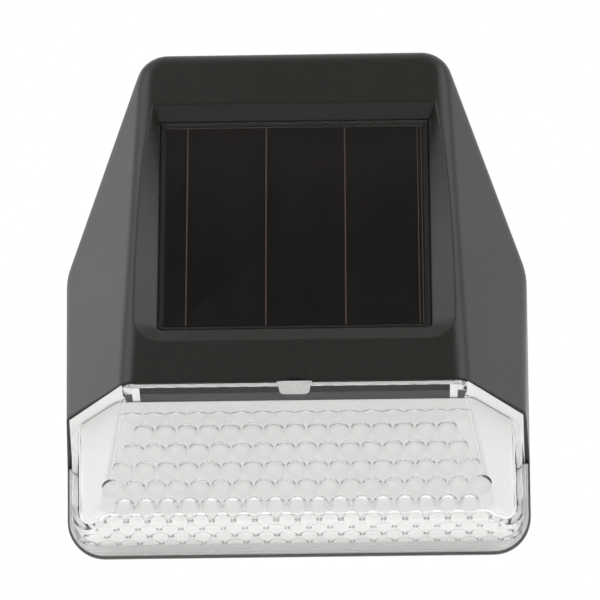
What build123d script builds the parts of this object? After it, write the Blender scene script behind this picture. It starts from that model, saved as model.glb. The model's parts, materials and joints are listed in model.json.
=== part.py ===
from build123d import *
import os
from math import atan2, cos, pi, radians, sin, tan

os.makedirs("parts", exist_ok=True)

# A small solar fence light. Millimetres, +Z up. The wall is the plane Y = 0 and the light faces -Y.
# "forward" is the distance in front of the wall, so forward = -Y.

# Outline seen from the front
body_width = 100.0
body_height = 110.0
body_depth = 35.94  # at the brow, its furthest point from the wall
top_width = 65.2
shoulder_height = 5.8  # above the middle, where the slanted sides turn upright
top_corner_radius = 7.0
bottom_corner_radius = 8.0
shoulder_radius = 14.0

# Sloped front of the housing
top_thickness = 6.0
brow_rise = 34.0  # above the bottom edge, where the lens begins
brow_width = 71.6
joint_rise = 18.5  # above the bottom edge, where the joint line of lens and housing meets the wall
front_edge_radius = 4.5
side_edge_radius = 3.8
side_draft = 3.5  # degrees that the upright sides lean inwards
wall = 2.2

# Window for the solar panel, which sits a little under the middle of the sloped front
window_shift = 0.75  # from the middle of the front to the middle of the panel
window_top_margin = 3.0  # between the panel and the mouth of the window
window_bottom_margin = 4.4
window_top_width = 61.2
window_belly = 16.6  # from the lower edge of the mouth up to where it is widest
window_widest_width = 68.6
window_bottom_width = 67.6
window_corner_radius = 6.0
window_depth = 3.0
panel_width = 57.8
panel_height = 51.2
panel_corner_radius = 1.1
panel_gap = 0.2
window_wall = 1.6

# Solar panel, from its face down
glass_thickness = 1.2
cell_thickness = 0.2
backing_thickness = 0.5
glue_thickness = 0.4
tray_floor = 1.2
cell_count = 4
cell_border = 1.1
cell_line = 0.3
cell_first_line = 5.8  # from the panel's left edge
cell_pitch = 17.0
glue_width = 2.0
terminal_size = 4.0
terminal_thickness = 0.15
terminal_spacing = 12.0
lead_hole_width = 20.0
lead_hole_height = 8.0

# Lens
lens_slope = 29.0  # degrees from the wall
lens_foot_inset = 8.4  # from the side of the lamp to the lower corner of the lens's front face
underside_slope = 16.0  # degrees
lens_wall = 2.2
lens_front_reveal = 0.2  # how far the lens lies inside the housing at the joint line
lens_side_reveal = 0.5
lens_step = 0.6  # its flange lies this far inside the cover's edge
flange_width = 0.5
flange_thickness = 1.6
flange_shelf = 1.6  # wider along the bottom
lens_edge_radius = 4.5
lens_nose_radius = 6.0
tab_width = 7.4
tab_foot_width = 6.2
tab_height = 2.7
tab_thickness = 0.3
tab_corner_radius = 0.9
catch_width = 6.0
catch_rise = 0.8
catch_depth = 0.6
post_radius = 2.4
post_inset = 8.0  # from the side of the lamp
post_rise = 11.0  # above the bottom edge
post_web = 1.6

# Deck that closes the housing over the lens
deck_thickness = 1.8
joint_gap = 0.05

# Back cover
cover_thickness = 2.4
cover_edge_chamfer = 0.4
rib_thickness = 1.2
rib_height = 1.6
rib_gap = 0.3
seal_width = 1.0
seal_depth = 0.8
seal_inset = 0.9

# Keyholes
keyhole_spacing = 50.0
keyhole_drop = 41.5  # below the top edge
keyhole_entry_radius = 4.5
keyhole_slot_width = 4.5
keyhole_rise = 8.0
pocket_depth = 4.6
pocket_wall = 1.0
pocket_margin = 1.0

# Battery bay
cell_diameter = 14.2
cell_length = 49.2
cell_nub_radius = 2.6
cell_nub_length = 1.3
cell_room = 0.4
battery_drop = 11.5
bay_wall = 1.5
bay_end_room = 6.0
contact_thickness = 0.5
contact_room = 1.0
contact_tail_width = 2.0
contact_tail_length = 2.0
spring_wire = 0.7
spring_turns = 4
spring_radius = 4.6
spring_cone = 20.0
door_thickness = 2.0
door_rim = 2.4
door_gap = 0.2
hinge_radius = 1.5
hinge_pin_radius = 0.9
hinge_pin_length = 1.6
hinge_clearance = 0.08
ledge_thickness = 3.0
ledge_margin = 2.4
door_seal_width = 1.2
door_seal_height = 0.9
door_seal_gap = 0.3
thumb_notch_width = 14.0
thumb_notch_reach = 3.0
thumb_notch_depth = 1.2
slot_gap = 0.2

# Reflector and LED board
reflector_gap = 0.4
reflector_wall = 1.2
reflector_setback = 3.6
base_thickness = 0.6
plate_forward = 11.0
led_spacing = 44.2
led_rise = 20.1  # above the bottom edge
led_width = 3.5
led_height = 2.8
led_thickness = 1.9
led_room = 0.45
phosphor_radius = 1.15
phosphor_depth = 0.3
board_width = 66.0
board_top_rise = 21.7  # above the bottom edge
board_edge_gap = 0.3
board_thickness = 1.6
board_gap = 0.2
notch_spacing = 32.0
notch_width = 8.0
notch_reach = 5.0
board_boss_spacing = 24.0
board_boss_rise = 15.0

# On the back of the LED board
chip_size = (4.9, 3.9, 1.5)
chip_across = -4.0
choke_radius = 2.4
choke_core_radius = 1.5
choke_height = 3.8
choke_flange = 0.6
choke_across = 4.5
capacitor_radius = 2.0
capacitor_height = 4.4
capacitor_across = -19.5
resistor_size = (1.6, 0.8, 0.5)
resistor_across = -32.0
resistor_spacing = 2.0
resistor_count = 3
parts_rise = 15.0  # above the bottom edge

# Slide switch
switch_across = 25.0
switch_rise = 17.0  # above the bottom edge
switch_width = 9.0
switch_height = 4.0
switch_depth = 3.8
switch_wall = 0.6
switch_travel = 2.5
slider_width = 3.4
slider_height = 2.4
slider_thickness = 1.4
slider_gap = 0.2
lever_width = 1.8
lever_height = 1.8
lever_sink = 0.6  # its tip lies this far inside the wall plane
lever_room = 0.5
switch_window_width = 10.0
switch_window_height = 6.4
switch_window_depth = 1.4
switch_window_corner = 1.2

# Leads, with the places that they pass
lead_radius = 0.6
lead_stub = 3.0  # straight out of a solder joint
lead_turn = 0.45  # share of the shorter run at a corner that its arc takes
lead_cover_gap = 2.4  # from the cover to the middle of the lead, beside the deck
lead_pad_drop = 2.6  # under the upper edge of the board
lead_deck_rise = 7.0  # over the joint line at the wall
solar_lead_shift = -1.5  # from the middle of its notch
solar_lead_top = (8.0, 1.5, 8.0)  # across, in front of the bay and above its middle
solar_lead_side = (11.0, 0.5, 0.5)  # across, in front of the bay and under it
solar_lead_foot = (13.5, -7.0, 5.7)
battery_lead_shift = 2.5
battery_lead_turn = (20.0, -1.5, 1.5)  # across, in front of the cell's middle and under the tail

# Screws
screw_radius = 1.0
screw_head_radius = 2.0
screw_head_height = 1.3
screw_head_sink = 0.2
screw_recess_radius = 2.3
screw_hole_radius = 1.2
cross_width = 0.5
cross_length = 2.4
cross_depth = 0.7
boss_radius = 2.8
pilot_clearance = 0.05
top_boss_inset = 9.6  # from the end of the top edge
top_boss_drop = 7.4  # below the top edge
top_screw_length = 4.6
side_boss_inset = 6.0  # from the side of the lamp
side_boss_drop = 17.0  # below the middle
side_screw_length = 9.0
post_screw_length = 7.4
board_screw_spacing = 50.0
board_screw_rise = 11.4  # above the bottom edge
board_screw_length = 4.0
board_boss_height = 3.4

# Worked out from the sizes above
half_width = body_width / 2
half_height = body_height / 2
brow_up = brow_rise - half_height
joint_up = joint_rise - half_height
lens_foot_width = body_width - 2 * lens_foot_inset
reach = 2 * body_depth  # further forward than anything on the lamp
touch = 0.001  # how near counts as lying on a plane


def place(across, forward, up):
    """A point by its distance right of the middle, in front of the wall and above the middle."""
    return Vector(across, -forward, up)


def plane_through(first, second, third, outwards):
    """The plane through three points, with its normal on the side of outwards."""
    normal = (second - first).cross(third - first)
    if normal.dot(outwards) < 0:
        normal = normal * -1
    return Plane(origin=first, z_dir=normal)


def outline_face(inset, forward=0.0):
    """The outline seen from the front, drawn in by inset, at a distance in front of the wall."""
    corners = [
        (-half_width, -half_height),
        (half_width, -half_height),
        (half_width, shoulder_height),
        (top_width / 2, half_height),
        (-top_width / 2, half_height),
        (-half_width, shoulder_height),
    ]
    with BuildSketch(Plane.XZ.offset(forward)) as face:
        with BuildLine():
            Polyline(corners, close=True)
        make_face()
        fillet(face.vertices().group_by(Axis.Y)[1], shoulder_radius)
        fillet(face.vertices().group_by(Axis.Y)[0], bottom_corner_radius)
        fillet(face.vertices().group_by(Axis.Y)[-1], top_corner_radius)
        if inset:
            offset(amount=-inset)
    return face.sketch


def outline_prism(inset, start):
    """The outline drawn out from a distance in front of the wall, with its sides leaning inwards."""
    with BuildPart() as prism:
        extrude(outline_face(inset, start), amount=reach, taper=side_draft)
    return prism.part


def edges_on(shape, first, second):
    """The straight or curved edges that run along the meeting of two planes."""

    def on_both(edge):
        spots = [edge @ 0, edge @ 0.5, edge @ 1]
        return all(abs(plane.to_local_coords(spot).Z) < touch for plane in (first, second) for spot in spots)

    return shape.edges().filter_by(on_both)


def rim_edges(shape, ceiling):
    """The edges between the upright sides and the faces that look forward, but not those on the joint plane."""
    lean = radians(side_draft)
    sides = shape.faces().filter_by(lambda face: abs(face.normal_at().Y) < sin(lean) + touch)

    def on_rim(edge):
        at_back = abs((edge @ 0.5).Y - sides.sort_by(Axis.Y)[-1].bounding_box().max.Y) < touch
        outwards = abs((edge % 0.5).Y) > cos(2 * lean)
        on_joint = abs(ceiling.to_local_coords(edge @ 0.5).Z) < touch
        return not (at_back or outwards or on_joint)

    return sides.edges().filter_by(on_rim)


# The faces of the lamp as planes, with their normals outwards
brow_line = place(0, body_depth, brow_up)
slope = atan2(body_depth - top_thickness, half_height - brow_up)
lens_lean = radians(lens_slope)
lift = radians(underside_slope)
front_plane = Plane(origin=place(0, top_thickness, half_height), x_dir=(1, 0, 0), z_dir=(0, -cos(slope), sin(slope)))
parting_plane = Plane(origin=brow_line, x_dir=(1, 0, 0), z_dir=(0, brow_up - joint_up, body_depth))
lens_top_forward = body_depth - lens_front_reveal / cos(lens_lean)
lens_front_plane = Plane(
    origin=place(0, lens_top_forward, brow_up), x_dir=(1, 0, 0), z_dir=(0, -cos(lens_lean), -sin(lens_lean))
)

# The underside of the lens starts at the flange along its foot and meets the front face at its nose
foot_forward = cover_thickness + flange_thickness
foot_up = -half_height + lens_step + flange_shelf
front_fall = 1 / tan(lens_lean)
under_rise = tan(lift)
front_at_wall = brow_up - lens_top_forward * front_fall
under_at_wall = foot_up - foot_forward * under_rise
nose_forward = (under_at_wall - front_at_wall) / (front_fall - under_rise)
nose_up = under_at_wall + nose_forward * under_rise
underside_plane = Plane(
    origin=place(0, foot_forward, foot_up), x_dir=(1, 0, 0), z_dir=(0, -sin(lift), -cos(lift))
)


def housing_facet(side):
    """The side facet of the housing, from its top corner over the shoulder to the brow."""
    return plane_through(
        place(side * top_width / 2, top_thickness, half_height),
        place(side * half_width, top_thickness, shoulder_height),
        place(side * brow_width / 2, body_depth, brow_up),
        Vector(side, 0, 0),
    )


def lens_facet(side):
    """The side facet of the lens, which starts just inside the housing's facet along the joint line."""
    joint_line = housing_facet(side).offset(-lens_side_reveal).intersect(parting_plane)
    return plane_through(
        joint_line.position,
        joint_line.position + joint_line.direction * reach,
        place(side * lens_foot_width / 2, nose_forward, nose_up),
        Vector(side, 0, 0),
    )


housing_facets = [housing_facet(side) for side in (-1, 1)]
lens_facets = [lens_facet(side) for side in (-1, 1)]


def housing_form(inset, floor_rise):
    """The convex body above the joint plane, drawn in by inset, with its floor raised by floor_rise."""
    front = front_plane.offset(-inset)
    facets = [facet.offset(-inset) for facet in housing_facets]
    with BuildPart() as form:
        add(outline_prism(inset, cover_thickness))
        split(bisect_by=front, keep=Keep.BOTTOM)
        for facet in facets:
            split(bisect_by=facet, keep=Keep.BOTTOM)
        for facet in facets:
            fillet(edges_on(form, front, facet), front_edge_radius - inset)
        floor = parting_plane.offset(floor_rise)
        split(bisect_by=floor, keep=Keep.TOP)
        fillet(rim_edges(form, floor), side_edge_radius - inset)
    return form.part


def lens_form(inset, ceiling_drop):
    """The convex dome of the lens, drawn in by inset, up to ceiling_drop under the joint plane."""
    front = lens_front_plane.offset(-inset)
    under = underside_plane.offset(-inset)
    facets = [facet.offset(-inset) for facet in lens_facets]
    with BuildPart() as form:
        add(outline_prism(lens_step + flange_width + inset, cover_thickness))
        split(bisect_by=front, keep=Keep.BOTTOM)
        split(bisect_by=under, keep=Keep.BOTTOM)
        for facet in facets:
            split(bisect_by=facet, keep=Keep.BOTTOM)
        fillet(edges_on(form, front, under), lens_nose_radius - inset)
        for facet in facets:
            fillet(edges_on(form, front, facet), lens_edge_radius - inset)
        ceiling = parting_plane.offset(-ceiling_drop)
        split(bisect_by=ceiling, keep=Keep.BOTTOM)
        fillet(rim_edges(form, ceiling), lens_edge_radius - inset)
    return form.part


# Front housing: the shell with the sunk window and its tray, and the deck over the lens
panel_stack = glass_thickness + cell_thickness + backing_thickness + glue_thickness
tray_depth = window_depth + panel_stack + tray_floor
brow_slant = (half_height - brow_up) / cos(slope)
panel_middle = brow_slant / 2 + window_shift
window_top = panel_middle - panel_height / 2 - window_top_margin
window_bottom = panel_middle + panel_height / 2 + window_bottom_margin
window_widest = window_bottom - window_belly
pilot_radius = screw_radius + pilot_clearance
screw_seat = screw_head_sink + screw_head_height
top_bosses = [(side * (top_width / 2 - top_boss_inset), half_height - top_boss_drop) for side in (-1, 1)]
side_bosses = [(side * (half_width - side_boss_inset), -side_boss_drop) for side in (-1, 1)]
lens_posts = [(side * (half_width - post_inset), post_rise - half_height) for side in (-1, 1)]
board_screw_spots = [(side * board_screw_spacing / 2, board_screw_rise - half_height) for side in (-1, 1)]
board_bosses = [(side * board_boss_spacing / 2, board_boss_rise - half_height) for side in (-1, 1)]


def bars(spots, radius, start, end):
    """Round bars straight out from the wall, one at each spot, between two distances from it."""
    with BuildPart() as group:
        with BuildSketch(Plane.XZ.offset(start)):
            with Locations(*spots):
                Circle(radius)
        extrude(amount=end - start)
    return group.part


def block(across, forward, up):
    """A straight-edged block between limits across, in front of the wall and above the middle."""
    size = (across[1] - across[0], forward[1] - forward[0], up[1] - up[0])
    with BuildPart() as piece:
        with Locations(place(sum(across) / 2, sum(forward) / 2, sum(up) / 2)):
            Box(*size)
    return piece.part


def panel_face(depth, margin):
    """The panel's outline, wider by margin all round, at a depth under the sloped front."""
    with BuildSketch(front_plane.offset(-depth)) as face:
        with Locations((0, -panel_middle)):
            Rectangle(panel_width + 2 * margin, panel_height + 2 * margin)
        fillet(face.vertices().group_by(Axis.Y)[0], panel_corner_radius)
    return face.sketch


def window_face(margin):
    """The mouth of the window in the sloped front: straight top and bottom, bowed sides."""
    top_right = (window_top_width / 2, -window_top)
    top_left = (-window_top_width / 2, -window_top)
    bottom_right = (window_bottom_width / 2, -window_bottom)
    bottom_left = (-window_bottom_width / 2, -window_bottom)
    with BuildSketch(front_plane) as face:
        with BuildLine():
            Line(top_left, top_right)
            ThreePointArc(top_right, (window_widest_width / 2, -window_widest), bottom_right)
            Line(bottom_right, bottom_left)
            ThreePointArc(bottom_left, (-window_widest_width / 2, -window_widest), top_left)
        make_face()
        fillet(face.vertices().group_by(Axis.Y)[0], window_corner_radius)
        if margin:
            offset(amount=margin, kind=Kind.INTERSECTION)
    return face.sketch


def window_tray():
    """The block under the window that carries the panel, cut off at the outside of the housing."""
    with BuildPart() as tray:
        extrude(window_face(window_wall), amount=-tray_depth)
        add(housing_form(0, 0), mode=Mode.INTERSECT)
    return tray.part


def window_hollow():
    """The window's sloping mouth, the seat of the panel below it and the hole for its leads."""
    with BuildPart() as hollow:
        loft([window_face(0), panel_face(window_depth, panel_gap)], ruled=True)
        extrude(panel_face(window_depth, panel_gap), amount=-panel_stack)
        with BuildSketch(front_plane.offset(-window_depth)):
            with Locations((0, -panel_middle)):
                RectangleRounded(lead_hole_width, lead_hole_height, panel_corner_radius)
        extrude(amount=-tray_depth)
    return hollow.part


def housing_bosses():
    """Screw bosses from the back cover up into the roof of the housing."""
    with BuildPart() as bosses:
        add(bars(top_bosses + side_bosses, boss_radius, cover_thickness, reach))
        add(housing_form(wall / 2, deck_thickness / 2), mode=Mode.INTERSECT)
    return bosses.part


def catch():
    """A shallow arched recess in the lower edge of the brow, over the tab of the lens."""
    radius = (catch_width**2 / 4 + catch_rise**2) / (2 * catch_rise)
    with BuildPart() as recess:
        with BuildSketch(front_plane):
            with Locations((0, catch_rise - brow_slant - radius)):
                Circle(radius)
        extrude(amount=-catch_depth)
    return recess.part


def lead_notches():
    """The two gaps by the back cover where leads pass down to the LED board."""
    with BuildPart() as notches:
        for side in (-1, 1):
            middle = side * notch_spacing / 2
            across = (middle - notch_width / 2, middle + notch_width / 2)
            forward = (cover_thickness, cover_thickness + notch_reach)
            add(block(across, forward, (joint_up - notch_reach, joint_up + 2 * notch_reach)))
    return notches.part


with BuildPart() as front_housing:
    add(housing_form(0, 0))
    add(housing_form(wall, deck_thickness), mode=Mode.SUBTRACT)
    add(housing_bosses())
    add(window_tray())
    add(window_hollow(), mode=Mode.SUBTRACT)
    add(catch(), mode=Mode.SUBTRACT)
    add(lead_notches(), mode=Mode.SUBTRACT)
    add(bars(top_bosses, pilot_radius, 0, screw_seat + top_screw_length + pilot_clearance), mode=Mode.SUBTRACT)
    add(bars(side_bosses, pilot_radius, 0, screw_seat + side_screw_length + pilot_clearance), mode=Mode.SUBTRACT)
front_housing.part.label = "front_housing"
export_step(front_housing.part, "parts/front_housing.step")

# Solar panel, from its face down: glass, four strips of film, backing board, terminals, bead of glue
cells_depth = window_depth + glass_thickness
backing_depth = cells_depth + cell_thickness
glue_depth = backing_depth + backing_thickness

with BuildPart() as solar_glass:
    extrude(panel_face(window_depth, 0), amount=-glass_thickness)
solar_glass.part.label = "solar_glass"
export_step(solar_glass.part, "parts/solar_glass.step")

film_height = panel_height - 2 * cell_border
with BuildPart() as solar_cells:
    with BuildSketch(front_plane.offset(-cells_depth)):
        with Locations((0, -panel_middle)):
            Rectangle(panel_width - 2 * cell_border, film_height)
        for number in range(cell_count - 1):
            with Locations((cell_first_line + number * cell_pitch - panel_width / 2, -panel_middle)):
                Rectangle(cell_line, film_height, mode=Mode.SUBTRACT)
    extrude(amount=-cell_thickness)
solar_cells.part.label = "solar_cells"
export_step(solar_cells.part, "parts/solar_cells.step")

with BuildPart() as panel_backing:
    extrude(panel_face(backing_depth, 0), amount=-backing_thickness)
panel_backing.part.label = "panel_backing"
export_step(panel_backing.part, "parts/panel_backing.step")

with BuildPart() as panel_terminals:
    with BuildSketch(front_plane.offset(-glue_depth)):
        with Locations((0, -panel_middle)):
            with GridLocations(terminal_spacing, 0, 2, 1):
                Rectangle(terminal_size, terminal_size)
    extrude(amount=-terminal_thickness)
panel_terminals.part.label = "panel_terminals"
export_step(panel_terminals.part, "parts/panel_terminals.step")

with BuildPart() as panel_glue:
    extrude(panel_face(glue_depth, 0), amount=-glue_thickness)
    extrude(panel_face(glue_depth, -glue_width), amount=-glue_thickness, mode=Mode.SUBTRACT)
panel_glue.part.label = "panel_glue"
export_step(panel_glue.part, "parts/panel_glue.step")

# Lens: a clear dome with a flange round its foot, a raised tab at its upper edge and two screw posts
post_end = plate_forward - reflector_gap
base_front = cover_thickness + base_thickness
lens_foot = base_front + joint_gap


def lens_flange():
    """The band round the foot of the lens that stands on the reflector's base."""
    with BuildPart() as band:
        extrude(outline_face(lens_step, cover_thickness), amount=flange_thickness)
        add(lens_form(lens_wall, 0), mode=Mode.SUBTRACT)
        split(bisect_by=parting_plane.offset(-joint_gap), keep=Keep.BOTTOM)
    return band.part


def lens_tab():
    """The raised tab in the middle of the upper edge of the lens, narrower at its foot."""
    flare = tab_width - tab_foot_width
    corners = [
        (-tab_foot_width / 2, -tab_height),
        (tab_foot_width / 2, -tab_height),
        (tab_width / 2 + flare / 2, tab_height),
        (-tab_width / 2 - flare / 2, tab_height),
    ]
    with BuildPart() as tab:
        with BuildSketch(lens_front_plane.offset(-lens_wall / 2)) as face:
            with BuildLine():
                Polyline(corners, close=True)
            make_face()
            fillet(face.vertices().group_by(Axis.Y)[0], tab_corner_radius)
        extrude(amount=lens_wall / 2 + tab_thickness)
        split(bisect_by=parting_plane.offset(-joint_gap), keep=Keep.BOTTOM)
    return tab.part


def post_forms(margin, end):
    """The two screw posts of the lens and the webs that join them to its side walls, thicker by margin."""
    half_web = post_web / 2 + margin
    with BuildPart() as posts:
        add(bars(lens_posts, post_radius + margin, cover_thickness, end))
        for across, up in lens_posts:
            outer = half_width if across > 0 else -half_width
            limits = (min(across, outer), max(across, outer))
            add(block(limits, (base_front, end), (up - half_web, up + half_web)))
    return posts.part


def lens_screw_posts():
    """Posts inside the lens that take the two lower cover screws. They end behind the reflector's plate."""
    with BuildPart() as posts:
        add(post_forms(0, post_end))
        add(lens_form(lens_wall / 2, 0), mode=Mode.INTERSECT)
    return posts.part


with BuildPart() as lens:
    add(lens_form(0, joint_gap))
    add(lens_form(lens_wall, 0), mode=Mode.SUBTRACT)
    add(lens_flange())
    add(lens_tab())
    split(bisect_by=Plane.XZ.offset(lens_foot), keep=Keep.TOP)
    add(lens_screw_posts())
    add(bars(lens_posts, pilot_radius, 0, screw_seat + post_screw_length + pilot_clearance), mode=Mode.SUBTRACT)
lens.part.label = "lens"
export_step(lens.part, "parts/lens.step")

# Reflector: a white tray inside the lens with a base under the lens's foot, and a plate across it that the
# LEDs shine through
board_forward = plate_forward - board_gap - board_thickness
board_front = board_forward + board_thickness
plate_front = plate_forward + reflector_wall
tray_inset = lens_wall + reflector_gap + reflector_wall
tray_bottom = foot_up + (board_front - foot_forward) * under_rise + tray_inset / cos(lift)
led_spots = [(side * led_spacing / 2, led_rise - half_height) for side in (-1, 1)]


def reflector_hollow(ceiling_drop, start, end):
    """The inside of the tray between two distances from the wall, up to ceiling_drop under the joint plane."""
    with BuildPart() as hollow:
        add(lens_form(tray_inset, ceiling_drop))
        add(block((-half_width, half_width), (start, end), (-half_height, 0)), mode=Mode.INTERSECT)
    return hollow.part


def reflector_base():
    """The thin base of the tray between the foot of the lens and the back cover."""
    with BuildPart() as base:
        extrude(outline_face(lens_step, cover_thickness), amount=base_thickness)
        split(bisect_by=parting_plane.offset(-reflector_gap), keep=Keep.BOTTOM)
    return base.part


with BuildPart() as reflector:
    add(lens_form(lens_wall + reflector_gap, reflector_gap))
    split(bisect_by=lens_front_plane.offset(-reflector_setback), keep=Keep.BOTTOM)
    add(reflector_base())
    add(reflector_hollow(0, 0, plate_forward), mode=Mode.SUBTRACT)
    add(reflector_hollow(reflector_gap + reflector_wall, plate_front, reach), mode=Mode.SUBTRACT)
    add(bars(board_screw_spots, boss_radius, plate_forward, plate_front + board_boss_height))
    add(bars(board_screw_spots, pilot_radius, 0, board_forward + board_screw_length + 2 * pilot_clearance),
        mode=Mode.SUBTRACT)
    add(post_forms(reflector_gap, plate_forward), mode=Mode.SUBTRACT)
    with BuildSketch(Plane.XZ):
        with Locations(*led_spots):
            Rectangle(led_width + 2 * led_room, led_height + 2 * led_room)
    extrude(amount=plate_front + reflector_wall, mode=Mode.SUBTRACT)
reflector.part.label = "reflector"
export_step(reflector.part, "parts/reflector.step")

# LED board and what is soldered to it
board_top = board_top_rise - half_height
board_bottom = tray_bottom + board_edge_gap
with BuildPart() as led_board:
    with BuildSketch(Plane.XZ.offset(board_forward)):
        with Locations((0, (board_top + board_bottom) / 2)):
            Rectangle(board_width, board_top - board_bottom)
        with Locations(*board_screw_spots):
            Circle(screw_hole_radius, mode=Mode.SUBTRACT)
    extrude(amount=board_thickness)
led_board.part.label = "led_board"
export_step(led_board.part, "parts/led_board.step")

for name, spot in zip(("led_left", "led_right"), led_spots):
    with BuildPart() as led:
        with BuildSketch(Plane.XZ.offset(board_front)):
            with Locations(spot):
                Rectangle(led_width, led_height)
        extrude(amount=led_thickness)
        with BuildSketch(Plane.XZ.offset(board_front + led_thickness)):
            with Locations(spot):
                Circle(phosphor_radius)
        extrude(amount=-phosphor_depth, mode=Mode.SUBTRACT)
    led.part.label = name
    export_step(led.part, f"parts/{name}.step")

led_face = board_front + led_thickness
led_phosphors = bars(led_spots, phosphor_radius, led_face - phosphor_depth, led_face)
led_phosphors.label = "led_phosphors"
export_step(led_phosphors, "parts/led_phosphors.step")

parts_up = parts_rise - half_height
chip_width, chip_height, chip_thickness = chip_size
with BuildPart() as controller_chip:
    with BuildSketch(Plane.XZ.offset(board_forward)):
        with Locations((chip_across, parts_up)):
            Rectangle(chip_width, chip_height)
    extrude(amount=-chip_thickness)
    chamfer(controller_chip.edges().filter_by(Axis.Y), chip_thickness / 5)
controller_chip.part.label = "controller_chip"
export_step(controller_chip.part, "parts/controller_chip.step")

with BuildPart() as choke:
    with BuildSketch(Plane.XZ.offset(board_forward)):
        with Locations((choke_across, parts_up)):
            Circle(choke_radius)
    extrude(amount=-choke_height)
    with BuildSketch(Plane.XZ.offset(board_forward - choke_flange)):
        with Locations((choke_across, parts_up)):
            Circle(choke_radius)
            Circle(choke_core_radius, mode=Mode.SUBTRACT)
    extrude(amount=-(choke_height - 2 * choke_flange), mode=Mode.SUBTRACT)
choke.part.label = "choke"
export_step(choke.part, "parts/choke.step")

capacitor_spot = (capacitor_across, parts_up - capacitor_radius)
capacitor = bars([capacitor_spot], capacitor_radius, board_forward - capacitor_height, board_forward)
capacitor.label = "capacitor"
export_step(capacitor, "parts/capacitor.step")

resistor_length, resistor_height, resistor_thickness = resistor_size
with BuildPart() as resistors:
    with BuildSketch(Plane.XZ.offset(board_forward)):
        with Locations((resistor_across + resistor_length, parts_up)):
            with GridLocations(0, resistor_spacing, 1, resistor_count):
                Rectangle(resistor_length, resistor_height)
    extrude(amount=-resistor_thickness)
resistors.part.label = "resistors"
export_step(resistors.part, "parts/resistors.step")

# Slide switch: its body on the board, and a slider whose lever reaches a window in the back cover
switch_back = board_forward - switch_depth
slider_back = switch_back + switch_wall + slider_gap
lever_back = lever_sink
slot_width = switch_travel + lever_width + 2 * lever_room
slot_height = lever_height + 2 * lever_room
slot_across = switch_across + switch_travel / 2
switch_up = switch_rise - half_height

with BuildPart() as switch_body:
    with BuildSketch(Plane.XZ.offset(switch_back)):
        with Locations((slot_across, switch_up)):
            Rectangle(switch_width, switch_height)
    extrude(amount=switch_depth)
    with BuildSketch(Plane.XZ.offset(switch_back + switch_wall)):
        with Locations((slot_across, switch_up)):
            Rectangle(switch_travel + slider_width + 2 * slider_gap, slider_height + 2 * slider_gap)
    extrude(amount=slider_thickness + 2 * slider_gap, mode=Mode.SUBTRACT)
    with BuildSketch(Plane.XZ.offset(switch_back)):
        with Locations((slot_across, switch_up)):
            Rectangle(switch_travel + lever_width + 2 * slider_gap, lever_height + 2 * slider_gap)
    extrude(amount=switch_wall, mode=Mode.SUBTRACT)
switch_body.part.label = "switch_body"
export_step(switch_body.part, "parts/switch_body.step")

with BuildPart() as switch_slider:
    with BuildSketch(Plane.XZ.offset(slider_back)):
        with Locations((switch_across, switch_up)):
            Rectangle(slider_width, slider_height)
    extrude(amount=slider_thickness)
    with BuildSketch(Plane.XZ.offset(lever_back)):
        with Locations((switch_across, switch_up)):
            Rectangle(lever_width, lever_height)
    extrude(amount=slider_back - lever_back)
    chamfer(switch_slider.faces().sort_by(Axis.Y)[-1].edges(), lever_width / 6)
switch_slider.part.label = "switch_slider"
export_step(switch_slider.part, "parts/switch_slider.step")

# Battery bay, in the back cover: it opens to the back and holds one cell across the lamp
cell_radius = cell_diameter / 2
battery_up = -battery_drop
cell_forward = door_thickness + cell_room + cell_radius
bay_half_width = (cell_length + cell_nub_length + bay_end_room) / 2
bay_half_height = cell_radius + cell_room
bay_floor = cell_forward + cell_radius + cell_room
door_half_width = bay_half_width + door_rim
door_half_height = bay_half_height + door_rim
opening_half_width = door_half_width + door_gap
opening_half_height = door_half_height + door_gap
ledge_half_width = opening_half_width + ledge_margin
ledge_half_height = opening_half_height + ledge_margin
hinge_up = battery_up + door_half_height - hinge_radius
ledge_front = door_thickness + ledge_thickness
contact_half_height = cell_radius - contact_room
plus_face = bay_half_width - contact_thickness - cell_room / 2
minus_face = -plus_face
cell_tip = plus_face
cell_base = cell_tip - cell_nub_length - cell_length


def bay_block(half_across, half_up, start, end):
    """A block centred on the battery bay, between two distances from the wall."""
    return block(
        (-half_across, half_across), (start, end), (battery_up - half_up, battery_up + half_up)
    )


def bar_across(radius, start, end, forward, up):
    """A round bar that lies across the lamp between two places."""
    with BuildPart() as bar:
        with BuildSketch(Plane.YZ.offset(start)):
            with Locations((-forward, up)):
                Circle(radius)
        extrude(amount=end - start)
    return bar.part


with BuildPart() as battery_cell:
    add(bar_across(cell_radius, cell_base, cell_base + cell_length, cell_forward, battery_up))
    fillet(battery_cell.edges(), cell_radius / 12)
    add(bar_across(cell_nub_radius, cell_base + cell_length, cell_tip, cell_forward, battery_up))
battery_cell.part.label = "battery_cell"
export_step(battery_cell.part, "parts/battery_cell.step")


def contact(side):
    """The sheet metal contact at one end of the bay, with a solder tail through the bay's lower wall."""
    inner = plus_face * side
    outer = inner + contact_thickness * side
    limits = (min(inner, outer), max(inner, outer))
    with BuildPart() as plate:
        add(
            block(
                limits,
                (cell_forward - contact_half_height, cell_forward + contact_half_height),
                (battery_up - contact_half_height, battery_up + contact_half_height),
            )
        )
        add(
            block(
                limits,
                (cell_forward - contact_tail_width / 2, cell_forward + contact_tail_width / 2),
                (battery_up - bay_half_height - bay_wall - contact_tail_length, battery_up),
            )
        )
    return plate.part


contact_plate = contact(1)
contact_plate.label = "contact_plate"
export_step(contact_plate, "parts/contact_plate.step")

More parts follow.
